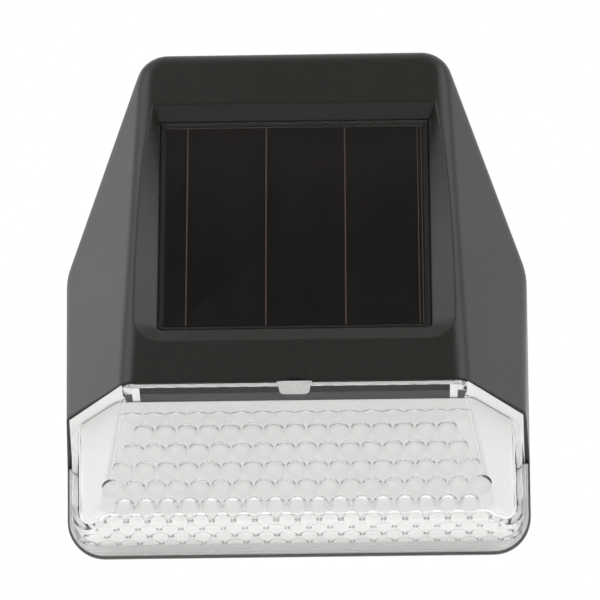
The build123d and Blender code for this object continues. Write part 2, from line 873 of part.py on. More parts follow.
# The spring's wire runs from the plate to the cell in a cone
spring_start = minus_face + spring_wire / 2
spring_end = cell_base - spring_wire / 2
with BuildPart() as contact_spring:
    with BuildLine():
        coil = Helix(
            pitch=(spring_end - spring_start) / spring_turns,
            height=spring_end - spring_start,
            radius=spring_radius,
            center=place(spring_start, cell_forward, battery_up),
            direction=(1, 0, 0),
            cone_angle=-spring_cone,
        )
    with BuildSketch(Plane(origin=coil @ 0, z_dir=coil % 0)):
        Circle(spring_wire / 2)
    sweep(path=coil)
contact_spring.part.label = "contact_spring"
export_step(contact_spring.part, "parts/contact_spring.step")

spring_plate = contact(-1)
spring_plate.label = "spring_plate"
export_step(spring_plate, "parts/spring_plate.step")

# Battery door: it turns on two pins at its upper edge, and its nose is round about that axis
pin_start = door_half_width
pin_end = pin_start + hinge_pin_length
with BuildPart() as battery_door:
    add(bay_block(door_half_width, door_half_height, 0, door_thickness))
    add(
        block(
            (-door_half_width, door_half_width),
            (0, door_thickness),
            (hinge_up, battery_up + door_half_height),
        ),
        mode=Mode.SUBTRACT,
    )
    add(bar_across(hinge_radius, -door_half_width, door_half_width, hinge_radius, hinge_up))
    add(bar_across(hinge_pin_radius, -pin_end, pin_end, hinge_radius, hinge_up))
    chamfer(battery_door.edges().filter_by(Axis.X).sort_by(Axis.Z)[0:2], cover_edge_chamfer)
battery_door.part.label = "battery_door"
export_step(battery_door.part, "parts/battery_door.step")

seal_half_width = bay_half_width - door_seal_gap
seal_bottom = battery_up - bay_half_height + door_seal_gap
seal_top = hinge_up - hinge_radius - door_seal_gap
seal_forward = (door_thickness, door_thickness + door_seal_height)
seal_hole_half_width = seal_half_width - door_seal_width
seal_hole_up = (seal_bottom + door_seal_width, seal_top - door_seal_width)
with BuildPart() as door_seal:
    add(block((-seal_half_width, seal_half_width), seal_forward, (seal_bottom, seal_top)))
    add(block((-seal_hole_half_width, seal_hole_half_width), seal_forward, seal_hole_up), mode=Mode.SUBTRACT)
door_seal.part.label = "door_seal"
export_step(door_seal.part, "parts/door_seal.step")


# Back cover: a plate with the battery bay, the keyholes and their pockets, the board's bosses and a rib
keyhole_up = half_height - keyhole_drop


def keyhole(side, start, end):
    """One keyhole: a round entry for the screw's head with a slot above it for the shank."""
    across = side * keyhole_spacing / 2
    with BuildPart() as hole:
        with BuildSketch(Plane.XZ.offset(start)):
            with Locations((across, keyhole_up)):
                Circle(keyhole_entry_radius)
            with Locations((across, keyhole_up + keyhole_rise / 2)):
                SlotCenterToCenter(keyhole_rise, keyhole_slot_width, rotation=90)
        extrude(amount=end - start)
    return hole.part


def pocket(side, margin, start, end):
    """The room behind one keyhole in which a screw's head rises from the entry to the slot's end."""
    across = side * keyhole_spacing / 2
    size = 2 * (keyhole_entry_radius + margin)
    with BuildPart() as room:
        with BuildSketch(Plane.XZ.offset(start)):
            with Locations((across, keyhole_up + keyhole_rise / 2)):
                SlotCenterToCenter(keyhole_rise, size, rotation=90)
        extrude(amount=end - start)
    return room.part


def ring(outer_inset, width, start, end):
    """A band that follows the outline, between two distances from the wall."""
    with BuildPart() as band:
        extrude(outline_face(outer_inset, start), amount=end - start)
        extrude(outline_face(outer_inset + width, start), amount=end - start, mode=Mode.SUBTRACT)
    return band.part


def locating_rib():
    """The rib just inside the housing's wall. It stops above the lens and clears the housing's bosses."""
    with BuildPart() as rib:
        add(ring(wall + rib_gap, rib_thickness, cover_thickness, cover_thickness + rib_height))
        add(bars(top_bosses + side_bosses, boss_radius + rib_gap, 0, reach), mode=Mode.SUBTRACT)
        rib_bottom = -side_boss_drop
        add(block((-half_width, half_width), (0, reach), (rib_bottom, half_height)), mode=Mode.INTERSECT)
    return rib.part


def contact_slots():
    """The two slots in the bay's lower wall for the tails of its contacts."""
    middle = plus_face + contact_thickness / 2
    with BuildPart() as slots:
        for side in (-1, 1):
            half_slot = contact_thickness / 2 + slot_gap
            across = (side * middle - half_slot, side * middle + half_slot)
            half_tail = contact_tail_width / 2 + slot_gap
            lower = battery_up - bay_half_height - 2 * bay_wall
            add(block(across, (cell_forward - half_tail, cell_forward + half_tail), (lower, battery_up)))
    return slots.part


pocket_floor = cover_thickness + pocket_depth
with BuildPart() as back_cover:
    extrude(outline_face(0), amount=cover_thickness)
    chamfer(back_cover.faces().sort_by(Axis.Y)[-1].edges(), cover_edge_chamfer)
    add(ring(seal_inset, seal_width, cover_thickness - seal_depth, cover_thickness), mode=Mode.SUBTRACT)
    add(locating_rib())
    add(bars(board_bosses, boss_radius, cover_thickness, board_forward))
    for side in (-1, 1):
        add(pocket(side, pocket_margin + pocket_wall, 0, pocket_floor + pocket_wall))
        add(pocket(side, pocket_margin, cover_thickness, pocket_floor), mode=Mode.SUBTRACT)
        add(keyhole(side, 0, cover_thickness), mode=Mode.SUBTRACT)
    add(bay_block(ledge_half_width, ledge_half_height, 0, ledge_front))
    add(bay_block(bay_half_width + bay_wall, bay_half_height + bay_wall, 0, bay_floor + bay_wall))
    add(bay_block(opening_half_width, opening_half_height, 0, door_thickness), mode=Mode.SUBTRACT)
    add(bay_block(bay_half_width, bay_half_height, 0, bay_floor), mode=Mode.SUBTRACT)
    add(contact_slots(), mode=Mode.SUBTRACT)
    nose_room = hinge_radius + door_gap
    add(bar_across(nose_room, -opening_half_width, opening_half_width, hinge_radius, hinge_up), mode=Mode.SUBTRACT)
    pin_room = hinge_pin_radius + hinge_clearance
    pin_reach = pin_end + door_gap
    add(bar_across(pin_room, -pin_reach, pin_reach, hinge_radius, hinge_up), mode=Mode.SUBTRACT)
    notch_top = battery_up - opening_half_height
    notch = block(
        (-thumb_notch_width / 2, thumb_notch_width / 2),
        (0, thumb_notch_depth),
        (notch_top - thumb_notch_reach, notch_top),
    )
    add(notch, mode=Mode.SUBTRACT)
    with BuildSketch(Plane.XZ):
        with Locations((slot_across, switch_up)):
            RectangleRounded(switch_window_width, switch_window_height, switch_window_corner)
    extrude(amount=switch_window_depth, mode=Mode.SUBTRACT)
    with BuildSketch(Plane.XZ):
        with Locations((slot_across, switch_up)):
            Rectangle(slot_width, slot_height)
    extrude(amount=cover_thickness, mode=Mode.SUBTRACT)
    cover_screw_spots = top_bosses + side_bosses + lens_posts
    add(bars(cover_screw_spots, screw_hole_radius, 0, cover_thickness), mode=Mode.SUBTRACT)
    add(bars(cover_screw_spots, screw_recess_radius, 0, screw_seat), mode=Mode.SUBTRACT)
back_cover.part.label = "back_cover"
export_step(back_cover.part, "parts/back_cover.step")

rim_seal = ring(seal_inset, seal_width, cover_thickness - seal_depth, cover_thickness)
rim_seal.label = "rim_seal"
export_step(rim_seal, "parts/rim_seal.step")


def screws(spots, head_start, length):
    """Pan head screws with a cross recess, driven in from the back, one at each spot."""
    seat = head_start + screw_head_height
    with BuildPart() as group:
        add(bars(spots, screw_head_radius, head_start, seat))
        fillet(group.edges().group_by(Axis.Y)[-1], screw_head_height / 3)
        with BuildSketch(Plane.XZ.offset(head_start)):
            with Locations(*spots):
                Rectangle(cross_width, cross_length)
                Rectangle(cross_length, cross_width)
        extrude(amount=cross_depth, mode=Mode.SUBTRACT)
        add(bars(spots, screw_radius, seat, seat + length))
        chamfer(group.edges().group_by(Axis.Y)[0], screw_radius / 2)
    return group.part


for name, spots, start, length in (
    ("top_screws", top_bosses, screw_head_sink, top_screw_length),
    ("side_screws", side_bosses, screw_head_sink, side_screw_length),
    ("lens_screws", lens_posts, screw_head_sink, post_screw_length),
    ("board_screws", board_screw_spots, board_forward - screw_head_height, board_screw_length),
):
    group = screws(spots, start, length)
    group.label = name
    export_step(group, f"parts/{name}.step")


# Leads: straight runs joined by arcs as wide as their runs allow
def lead(points):
    """A round lead through a list of points."""
    turns = []
    for before, corner, after in zip(points, points[1:], points[2:]):
        run = min((corner - before).length, (after - corner).length)
        half_turn = radians((corner - before).get_angle(after - corner)) / 2
        turns.append(lead_turn * run / tan(half_turn))
    with BuildPart() as wire:
        with BuildLine() as route:
            FilletPolyline(*points, radius=turns)
        path = route.wire()
        with BuildSketch(Plane(origin=path @ 0, z_dir=path % 0)):
            Circle(lead_radius)
        sweep(path=path)
    section = pi * lead_radius**2
    share = wire.part.volume / (section * path.length)
    print("lead", round(path.length, 1), "mm, volume share", round(share, 4), "radii", [round(turn, 1) for turn in turns])
    return wire.part


def board_run(across):
    """The last points of a lead: past the deck beside the cover, and forward to its pad on the board."""
    pad_up = board_top - lead_pad_drop
    forward = cover_thickness + lead_cover_gap
    return [
        place(across, forward, joint_up + lead_deck_rise),
        place(across, forward, pad_up),
        place(across, board_forward, pad_up),
    ]


terminal_centre = front_plane.offset(-glue_depth - terminal_thickness)
inward = terminal_centre.z_dir * -1
bay_front = bay_floor + bay_wall + 2 * lead_radius
bay_underside = battery_up - bay_half_height - bay_wall
for name, side in (("solar_lead_plus", -1), ("solar_lead_minus", 1)):
    start = terminal_centre.from_local_coords((side * terminal_spacing / 2, -panel_middle, 0))
    points = [
        start,
        start + inward * lead_stub,
        place(side * solar_lead_top[0], bay_front + solar_lead_top[1], battery_up + solar_lead_top[2]),
        place(side * solar_lead_side[0], bay_front + solar_lead_side[1], bay_underside - solar_lead_side[2]),
        place(side * solar_lead_foot[0], bay_front + solar_lead_foot[1], bay_underside - solar_lead_foot[2]),
    ]
    wire = lead(points + board_run(side * (notch_spacing / 2 + solar_lead_shift)))
    wire.label = name
    export_step(wire, f"parts/{name}.step")

tail_up = bay_underside - contact_tail_length
for name, side in (("battery_lead_minus", -1), ("battery_lead_plus", 1)):
    joint = place(side * plus_face, cell_forward, tail_up + lead_radius)
    points = [
        joint,
        joint - place(side * lead_stub, 0, 0),
        place(side * battery_lead_turn[0], cell_forward + battery_lead_turn[1], tail_up - battery_lead_turn[2]),
    ]
    wire = lead(points + board_run(side * (notch_spacing / 2 + battery_lead_shift)))
    wire.label = name
    export_step(wire, f"parts/{name}.step")
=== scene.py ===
import json
from math import cos, pi, radians, sin, tan

import bpy
import numpy as np
from mathutils import Matrix, Vector


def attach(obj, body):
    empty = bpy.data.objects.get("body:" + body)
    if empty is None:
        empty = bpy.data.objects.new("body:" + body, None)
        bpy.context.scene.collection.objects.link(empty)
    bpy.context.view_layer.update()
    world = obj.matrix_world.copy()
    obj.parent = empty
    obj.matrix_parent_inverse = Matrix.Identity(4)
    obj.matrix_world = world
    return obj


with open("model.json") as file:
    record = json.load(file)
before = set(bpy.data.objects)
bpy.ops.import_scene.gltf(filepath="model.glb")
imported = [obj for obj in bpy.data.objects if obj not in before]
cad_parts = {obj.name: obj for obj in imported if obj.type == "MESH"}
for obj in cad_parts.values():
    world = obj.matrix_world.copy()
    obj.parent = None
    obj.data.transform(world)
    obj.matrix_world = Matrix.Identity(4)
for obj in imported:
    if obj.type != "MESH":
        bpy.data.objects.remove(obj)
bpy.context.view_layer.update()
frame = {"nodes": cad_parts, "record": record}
nodes = frame["nodes"]
mm = 0.001

# The lamp hangs on the plane Y = 0 and faces -Y. "forward" is the distance in front of that plane, so
# forward = -Y, "across" is X and "up" is Z. Sizes are in millimetres until a piece is made.

# Sloped front of the housing, with its solar panel
top_thickness = 6.0
half_height = 55.0
front_slope = radians(21.5)
panel_top = 16.0
panel_width = 57.8
panel_height = 51.2
film_depth = 4.2  # the face of the film, under the sloped front
film_border = 1.1
scribe_across = (-23.1, -6.1, 10.9)
scribe_width = 0.2
border_across = (26.6, 27.4)
border_width = 0.12
border_gap = 0.25  # from the upper border line to the film
scribe_rise = 0.01  # over the film
border_sink = 0.02  # under the face of the film
scribe_bottom = 0.12  # under the face of the film
line_steps = 8

# Inside of the lens
lens_top_forward = 35.71
lens_top_up = -21.0
lens_slope = radians(29.0)
underside_slope = radians(16.0)
foot_forward = 4.0
foot_up = -52.8
lens_wall = 2.2
nose_radius = 6.0

# Corners of the lens's flat inner front: how far off its plane and how far from its two ends they may lie
flat_tolerance = 0.02
flat_low_end = 1.0
flat_high_end = 4.0

# Bumps moulded on the inside of the lens
bump_pitch = 4.57
row_pitch = 4.25
bump_radius = 2.26
bump_edge_slope = radians(42.0)
bump_rings = 3
bump_segments = 16
bump_columns = 12  # on each side of the middle, before the pad's edge cuts them off
second_row = 12.05  # down the slope from the joint line
pad_start = 7.6  # also down the slope, where the first row is cut straight
pad_margin = 1.3  # least distance from the middle of a bump to the edge of the lens's flat front
pad_overlap = 1.0  # how far a bump may reach past that edge
row_count = 10
bump_seat = -0.02  # sunk a little into the lens, so that light passes as in one piece

# Foot of the lens
body_half_width = 50.0
foot_corner = 8.0
foot_step = 0.6  # from the lamp's outline to the flange of the lens
foot_face = 4.0  # the front of the flange
bead_radius = 0.16
bead_seat = 0.3  # height of its middle over the flange, as a share of its radius
bead_sides = 8
corner_steps = 13
bead_insets = ((0.1, 0.3), (0.26, 0.8), (0.42, 1.3))  # at the sides and along the bottom
bead_top = -35.6

# Fine ridges beside the bumps, on the inside of the lens
ridge_radius = 0.35
ridge_seat = 0.67  # height of its middle over the lens, as a share of its radius
ridge_sides = 10
ridge_steps = 12
ridge_reach = (4.5, 22.8)  # down the slope from the joint line
ridge_across = (35.8, 39.3)  # at its two ends

# Thin sheets under the deck of the housing, by distance across and in front of the wall
body_depth = 35.94
joint_up = -36.5
joint_rise = 15.5
sheet_depths = (0.08, 0.02)  # of its two faces under the deck
sheet_rows = 4
ear_outer = ((36.3, 35.2), (48.2, 21.9), (48.9, 2.6))
ear_inner = ((35.5, 29.5), (44.6, 19.0), (45.2, 2.6))
rib_across = (32.6, 34.2)
deck_strip_front = 34.25
deck_strip_back = 28.5

# Tab in the middle of the lens's upper edge
tab_half_width = 3.7
tab_foot_half_width = 3.1
tab_drop = 2.75
tab_corner = 0.9
tab_rise = 0.36
tab_sink = 0.02  # of its lower face into the clear tab
tab_start = 0.06  # down the slope from the joint line
tab_wave = 0.05
tab_wave_turns = (2.3, 1.9)  # radians a millimetre, across and down
tab_rows = 15
tab_columns = 25

# Floor
floor_drop = 260.0
floor_reach = 8000.0
floor_rows = 9

# Light tent: white all round, but dark round its open front at -Y, by the cosine of the angle to -Y
dark_level = 0.09
dark_from = 0.48
white_from = 0.1
lamp_size = 500.0

# Camera
camera_distance = 1000.0
camera_azimuth = radians(1.2)
camera_elevation = radians(-8.0)
camera_roll = radians(-0.6)
pixels_per_mm = 4.59
image_side = 600
aim_across = 0.65
aim_up = 1.2


def place(across, forward, up):
    """Points in metres from arrays of millimetres across, in front of the wall and up."""
    across, forward, up = np.broadcast_arrays(across, forward, up)
    return np.stack([across, -forward, up], axis=-1) * mm


def on_slope(across, down, depth):
    """Points by their distance across, down the sloped front and under it: the front's own two directions,
    one along it and one into it, added up from its top edge."""
    forward = top_thickness + down * sin(front_slope) - depth * cos(front_slope)
    up = half_height - down * cos(front_slope) - depth * sin(front_slope)
    return place(across, forward, up)


# ---------------------------------------------------------------- meshes


def mesh_piece(name, points, faces, material, slot, crease=None):
    """A mesh piece on the lamp's body from points and faces, smooth, or smooth up to an angle of crease."""
    mesh = bpy.data.meshes.new(name)
    mesh.from_pydata(points.reshape(-1, 3).tolist(), [], faces)
    mesh.shade_smooth()
    if crease is not None:
        mesh.set_sharp_from_angle(angle=crease)
    mesh.materials.append(material)
    piece = bpy.data.objects.new(name, mesh)
    bpy.context.scene.collection.objects.link(piece)
    if slot:
        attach(piece, "lamp")
    return piece


def quads(rows, columns, start=0, closed=False):
    """The faces of a grid of rows by columns of points, joined to a ring across its columns if closed."""
    last = columns if closed else columns - 1
    row, column = np.meshgrid(np.arange(rows - 1), np.arange(last), indexing="ij")
    after = (column + 1) % columns
    near, far = row * columns, (row + 1) * columns
    corners = [near + column, near + after, far + after, far + column]
    return start + np.stack(corners, axis=-1).reshape(-1, 4)


def slab(front, back):
    """A closed slab between two grids of points of one size: the two grids and a rim along their edges, with
    all faces outwards, by the cross product of the front's two directions."""
    rows, columns = front.shape[:2]
    count = rows * columns
    index = np.arange(count).reshape(rows, columns)
    rim = np.concatenate([index[0], index[1:, -1], index[-1, -2::-1], index[-2:0:-1, 0]])
    after = np.roll(rim, -1)
    sides = np.stack([rim, rim + count, after + count, after], axis=-1)
    faces = np.concatenate([quads(rows, columns), quads(rows, columns, count)[:, ::-1], sides])
    face_way = np.cross(front[0, -1] - front[0, 0], front[-1, 0] - front[0, 0])
    if np.dot(face_way, front[0, 0] - back[0, 0]) < 0:
        faces = faces[:, ::-1]
    return np.concatenate([front.reshape(-1, 3), back.reshape(-1, 3)]), faces.tolist()


# ---------------------------------------------------------------- materials

plastic_ior = 1.33  # low, since the grain of a moulded face swallows part of its gloss
plastic_gloss_spread = 0.04
metal_gloss_spread = 0.08
wide_grain = 40  # blotches of the gloss, in grains
streak_height = 0.02


def linear(colour):
    """A linear colour from an sRGB hex value."""
    parts = [int(colour[i : i + 2], 16) / 255 for i in (0, 2, 4)]
    return tuple(c / 12.92 if c <= 0.04045 else ((c + 0.055) / 1.055) ** 2.4 for c in parts) + (1.0,)


def add_node(tree, kind, settings=None, inputs=None):
    """Adds a node, sets its settings and sets or links its inputs."""
    node = tree.nodes.new(kind)
    for name, value in (settings or {}).items():
        setattr(node, name, value)
    for name, value in (inputs or {}).items():
        if isinstance(value, bpy.types.NodeSocket):
            tree.links.new(value, node.inputs[name])
        else:
            node.inputs[name].default_value = value
    return node


def new_material(name):
    """An empty material, its node tree, its output and the Object coordinates in it."""
    material = bpy.data.materials.new(name)
    material.use_nodes = True
    tree = material.node_tree
    tree.nodes.clear()
    output = add_node(tree, "ShaderNodeOutputMaterial")
    where = add_node(tree, "ShaderNodeTexCoord").outputs["Object"]
    return material, tree, output, where


def noise(tree, where, grain, detail=2.0, roughness=0.5):
    """A noise whose blotches are grain millimetres wide."""
    return add_node(
        tree,
        "ShaderNodeTexNoise",
        inputs={"Vector": where, "Scale": 1 / (grain * mm), "Detail": detail, "Roughness": roughness},
    ).outputs["Fac"]


def blend_colours(tree, factor, low, high):
    """A colour that goes from one sRGB hex value to another as the factor goes from 0.3 to 0.7."""
    ramp = add_node(tree, "ShaderNodeValToRGB", inputs={"Fac": factor})
    ramp.color_ramp.elements[0].position = 0.3
    ramp.color_ramp.elements[1].position = 0.7
    ramp.color_ramp.elements[0].color = linear(low)
    ramp.color_ramp.elements[1].color = linear(high)
    return ramp.outputs["Color"]


def moulded_plastic(name, low, high, grain, roughness, relief, edge=0.3):
    """Moulded plastic: a fine spark-eroded grain in the surface, a faint change of colour, softened edges."""
    material, tree, output, where = new_material(name)
    grain_height = noise(tree, where, grain)
    wide = noise(tree, where, grain * wide_grain)
    softened = add_node(tree, "ShaderNodeBevel", {"samples": 6}, {"Radius": edge * mm}).outputs["Normal"]
    relief_node = add_node(
        tree,
        "ShaderNodeBump",
        inputs={"Strength": 1.0, "Distance": relief * mm, "Height": grain_height, "Normal": softened},
    )
    spread = add_node(
        tree,
        "ShaderNodeMapRange",
        inputs={
            "Value": wide,
            "To Min": roughness - plastic_gloss_spread,
            "To Max": roughness + plastic_gloss_spread,
        },
    ).outputs["Result"]
    mixed = add_node(
        tree, "ShaderNodeMath", {"operation": "MULTIPLY_ADD"}, {0: grain_height, 1: 0.7, 2: 0.15}
    ).outputs["Value"]
    shader = add_node(
        tree,
        "ShaderNodeBsdfPrincipled",
        inputs={
            "Base Color": blend_colours(tree, mixed, low, high),
            "Roughness": spread,
            "Normal": relief_node.outputs["Normal"],
            "IOR": plastic_ior,
        },
    )
    tree.links.new(shader.outputs["BSDF"], output.inputs["Surface"])
    return material


def clear_sheet(name, colour, ior):
    """Polished clear material: light bends through it, and shadow rays and diffuse rays pass straight on."""
    material, tree, output, where = new_material(name)
    inputs = {"Base Color": linear(colour), "Roughness": 0.0, "IOR": ior, "Transmission Weight": 1.0}
    glass = add_node(tree, "ShaderNodeBsdfPrincipled", inputs=inputs)
    open_way = add_node(tree, "ShaderNodeBsdfTransparent", inputs={"Color": linear(colour)})
    path = add_node(tree, "ShaderNodeLightPath")
    passes = add_node(
        tree,
        "ShaderNodeMath",
        {"operation": "MAXIMUM"},
        {0: path.outputs["Is Shadow Ray"], 1: path.outputs["Is Diffuse Ray"]},
    ).outputs["Value"]
    mix = add_node(
        tree, "ShaderNodeMixShader", inputs={0: passes, 1: glass.outputs["BSDF"], 2: open_way.outputs["BSDF"]}
    )
    tree.links.new(mix.outputs["Shader"], output.inputs["Surface"])
    return material


def metal(name, low, high, roughness, streak=(1, 1, 1), grain=0.5, metallic=1.0):
    """Plated or drawn metal: fine streaks in its gloss, and a faint change of colour along them."""
    material, tree, output, where = new_material(name)
    stretched = add_node(
        tree, "ShaderNodeMapping", inputs={"Vector": where, "Scale": streak}
    ).outputs["Vector"]
    lines = noise(tree, stretched, grain, detail=3.0)
    gloss = add_node(
        tree,
        "ShaderNodeMapRange",
        inputs={
            "Value": lines,
            "To Min": roughness - metal_gloss_spread,
            "To Max": roughness + metal_gloss_spread,
        },
    ).outputs["Result"]
    relief = add_node(
        tree, "ShaderNodeBump", inputs={"Strength": 0.4, "Distance": streak_height * mm, "Height": lines}
    ).outputs["Normal"]
    shader = add_node(
        tree,
        "ShaderNodeBsdfPrincipled",
        inputs={
            "Base Color": blend_colours(tree, lines, low, high),
            "Metallic": metallic,
            "Roughness": gloss,
            "Normal": relief,
        },
    )
    tree.links.new(shader.outputs["BSDF"], output.inputs["Surface"])
    return material


def deposited_film():
    """Amorphous silicon film: near-black brown, faintly blotched, with a thin gloss."""
    material, tree, output, where = new_material("deposited_silicon_film")
    colour = blend_colours(tree, noise(tree, where, 9.0), "0b0706", "120c0a")
    inputs = {"Base Color": colour, "Roughness": 0.35, "IOR": 1.25}
    shader = add_node(tree, "ShaderNodeBsdfPrincipled", inputs=inputs)
    tree.links.new(shader.outputs["BSDF"], output.inputs["Surface"])
    return material


materials = {
    # Spark-eroded moulded ABS: a dull, faintly speckled charcoal
    "housing_plastic": moulded_plastic("moulded_abs_charcoal", "1d1b1a", "292824", 0.4, 0.34, 0.03, 0.8),
    # ABS from a finer tool for the cover, evenly dull: the same charcoal plastic painted a paler grey, as
    # painted light for the light from below and the sides
    "cover_plastic": moulded_plastic("moulded_abs_cover_painted_light", "5e5d5a", "6a6966", 0.5, 0.5, 0.010, 0.25),
    # Polished clear polycarbonate: sharp and colourless
    "clear_plastic": clear_sheet("polished_clear_polycarbonate", "fdfdfd", 1.49),
    # White ABS: clean and half glossy
    "white_plastic": moulded_plastic("moulded_white_abs", "eeeeed", "f2f2f1", 0.8, 0.35, 0.004, 0.15),
    # Float glass over the solar film: clear, with a breath of green
    "panel_glass": clear_sheet("float_glass", "f6f9f7", 1.5),
    "solar_film": deposited_film(),
    # Laminated board under the panel: near black and dull
    "panel_board": moulded_plastic("laminated_panel_board", "171313", "1f1a1a", 0.6, 0.6, 0.004, 0.05),
    # Rolled copper: reddish, with streaks along the strip
    "copper": metal("rolled_copper", "a8674a", "c07c5a", 0.35, (6, 1, 1)),
    # Silicone set in place: black, wavy and softly shining
    "silicone": moulded_plastic("cured_black_silicone", "202020", "2b2b2b", 1.2, 0.4, 0.02, 0.1),
    # Board under solder mask: an even green with a gloss
    "circuit_board": moulded_plastic("solder_masked_board", "1c6238", "247243", 0.9, 0.3, 0.006, 0.05),
    # Gel cast over the diode: a pale, grainy yellow
    "phosphor": moulded_plastic("cast_phosphor_gel", "c9b45c", "d9c87c", 0.2, 0.25, 0.01, 0.05),
    # Moulded epoxy: a fine-grained black
    "component_black": moulded_plastic("moulded_epoxy_black", "161617", "222224", 0.25, 0.5, 0.008, 0.1),
    # Pressed ferrite: dark grey and slightly rough
    "ferrite": moulded_plastic("pressed_ferrite", "323234", "464649", 0.3, 0.55, 0.015, 0.08),
    # Drawn aluminium: bright, with fine lines round the can
    "capacitor_can": metal("drawn_aluminium_can", "b2b5b8", "c6c9cb", 0.3, (1, 8, 1)),
    # Shrunk sleeve: a glossy green with wide, faint clouds
    "battery_sleeve": moulded_plastic("shrunk_pvc_sleeve", "2a7440", "34884b", 3.0, 0.25, 0.01, 0.1),
    # Stamped sheet under nickel: warm silver with rolling lines
    "nickel_steel": metal("stamped_nickel_plated_steel", "bdbab2", "d0cdc5", 0.28, (1, 1, 6)),
    # Drawn wire under nickel: bright, with lines along it
    "spring_steel": metal("drawn_nickel_plated_wire", "c2c2be", "d4d4d0", 0.2, (1, 6, 6)),
    # Moulded rubber: black and quite dull
    "rubber_seal": moulded_plastic("moulded_rubber_seal", "1e1e1e", "2a2a2a", 0.4, 0.75, 0.02, 0.1),
    # Zinc-plated screws: pale grey with a fine turned grain
    "zinc_steel": metal("zinc_plated_screw_steel", "aeb1b4", "c4c7ca", 0.32, (1, 5, 1), 0.3),
    # Extruded insulation: smooth, red or black
    "red_insulation": moulded_plastic("extruded_red_pvc", "a0211e", "b32c27", 0.8, 0.35, 0.006, 0.05),
    "black_insulation": moulded_plastic("extruded_black_pvc", "161616", "202020", 0.8, 0.35, 0.006, 0.05),
}
# Painted shade: a darker, duller copy of the charcoal plastic, for the sheet under the deck where the
# housing's underside lies in shade
painted_shade_plastic = moulded_plastic("moulded_abs_core_side", "0e0d0d", "141313", 0.6, 0.9, 0.0, 0.05)
# A clear runner torn off by hand: white and rough
frosted = moulded_plastic("torn_gate_frost", "c4c3c2", "dedddc", 0.35, 0.6, 0.05, 0.1)
# Copper laid bare in thin lines: dull brown on the black film
scribed = metal("bare_copper_scribe", "4a3833", "64504a", 0.5, (1, 1, 8), 2.0, 0.3)

slots = {row["node"]: row["material_slot"] for row in frame["record"]["subparts"]}
for node_name, node in nodes.items():
    finish = materials[slots[node_name]]
    node.data.materials.clear()
    node.data.materials.append(finish)

# ---------------------------------------------------------------- bumps inside the lens


def inside_lens(down, inset):
    """The inner face of the lens in the middle of the lamp, as forward and up: a straight line down the
    front, an arc round the nose and a straight line back along the underside, each drawn in by inset from
    the lens's inner face. down is measured along it from the joint line."""
    along_front = np.array([-sin(lens_slope), -cos(lens_slope)])
    along_under = np.array([-cos(underside_slope), -sin(underside_slope)])
    into_front = np.array([-cos(lens_slope), sin(lens_slope)])
    into_under = np.array([-sin(underside_slope), cos(underside_slope)])
    start = np.array([lens_top_forward, lens_top_up]) + lens_wall * into_front
    foot = np.array([foot_forward, foot_up]) + lens_wall * into_under
    reach = np.linalg.solve(np.stack([along_front, along_under], axis=1), foot - start)
    corner = start + reach[0] * along_front
    turn = pi / 2 - lens_slope - underside_slope
    radius = nose_radius - lens_wall
    straight = reach[0] - radius * tan(turn / 2)
    arc = radius * turn
    angle = np.clip((down - straight) / radius, 0, turn)
    centre = corner - radius * tan(turn / 2) * along_front + radius * into_front
    into = np.stack([-np.cos(lens_slope + angle), np.sin(lens_slope + angle)], axis=-1)
    along = np.stack([-np.sin(lens_slope + angle), -np.cos(lens_slope + angle)], axis=-1)
    past = np.where(down < straight, down - straight, np.maximum(down - straight - arc, 0))
    spot = centre - radius * into + past[..., None] * along + inset[..., None] * into
    return spot[..., 0], spot[..., 1]


def flat_half_width(down):
    """Half the width of the lens's flat inner front at a distance down it, from the corners of that flat."""
    points = np.array([v.co for v in nodes["lens"].data.vertices]) / mm
    across, forward, up = points[:, 0], -points[:, 1], points[:, 2]
    level = (forward - lens_top_forward) * cos(lens_slope) - (up - lens_top_up) * sin(lens_slope) + lens_wall
    spots = np.abs(level) < flat_tolerance
    back, fall = lens_top_forward - forward[spots], lens_top_up - up[spots]
    slant = back * sin(lens_slope) + fall * cos(lens_slope)
    wide = np.abs(across[spots])
    low = slant > slant.max() - flat_low_end
    high = slant < slant.min() + flat_high_end
    top, bottom = wide[high].max(), wide[low].max()
    return top + (bottom - top) * (down - slant.min()) / (slant.max() - slant.min())


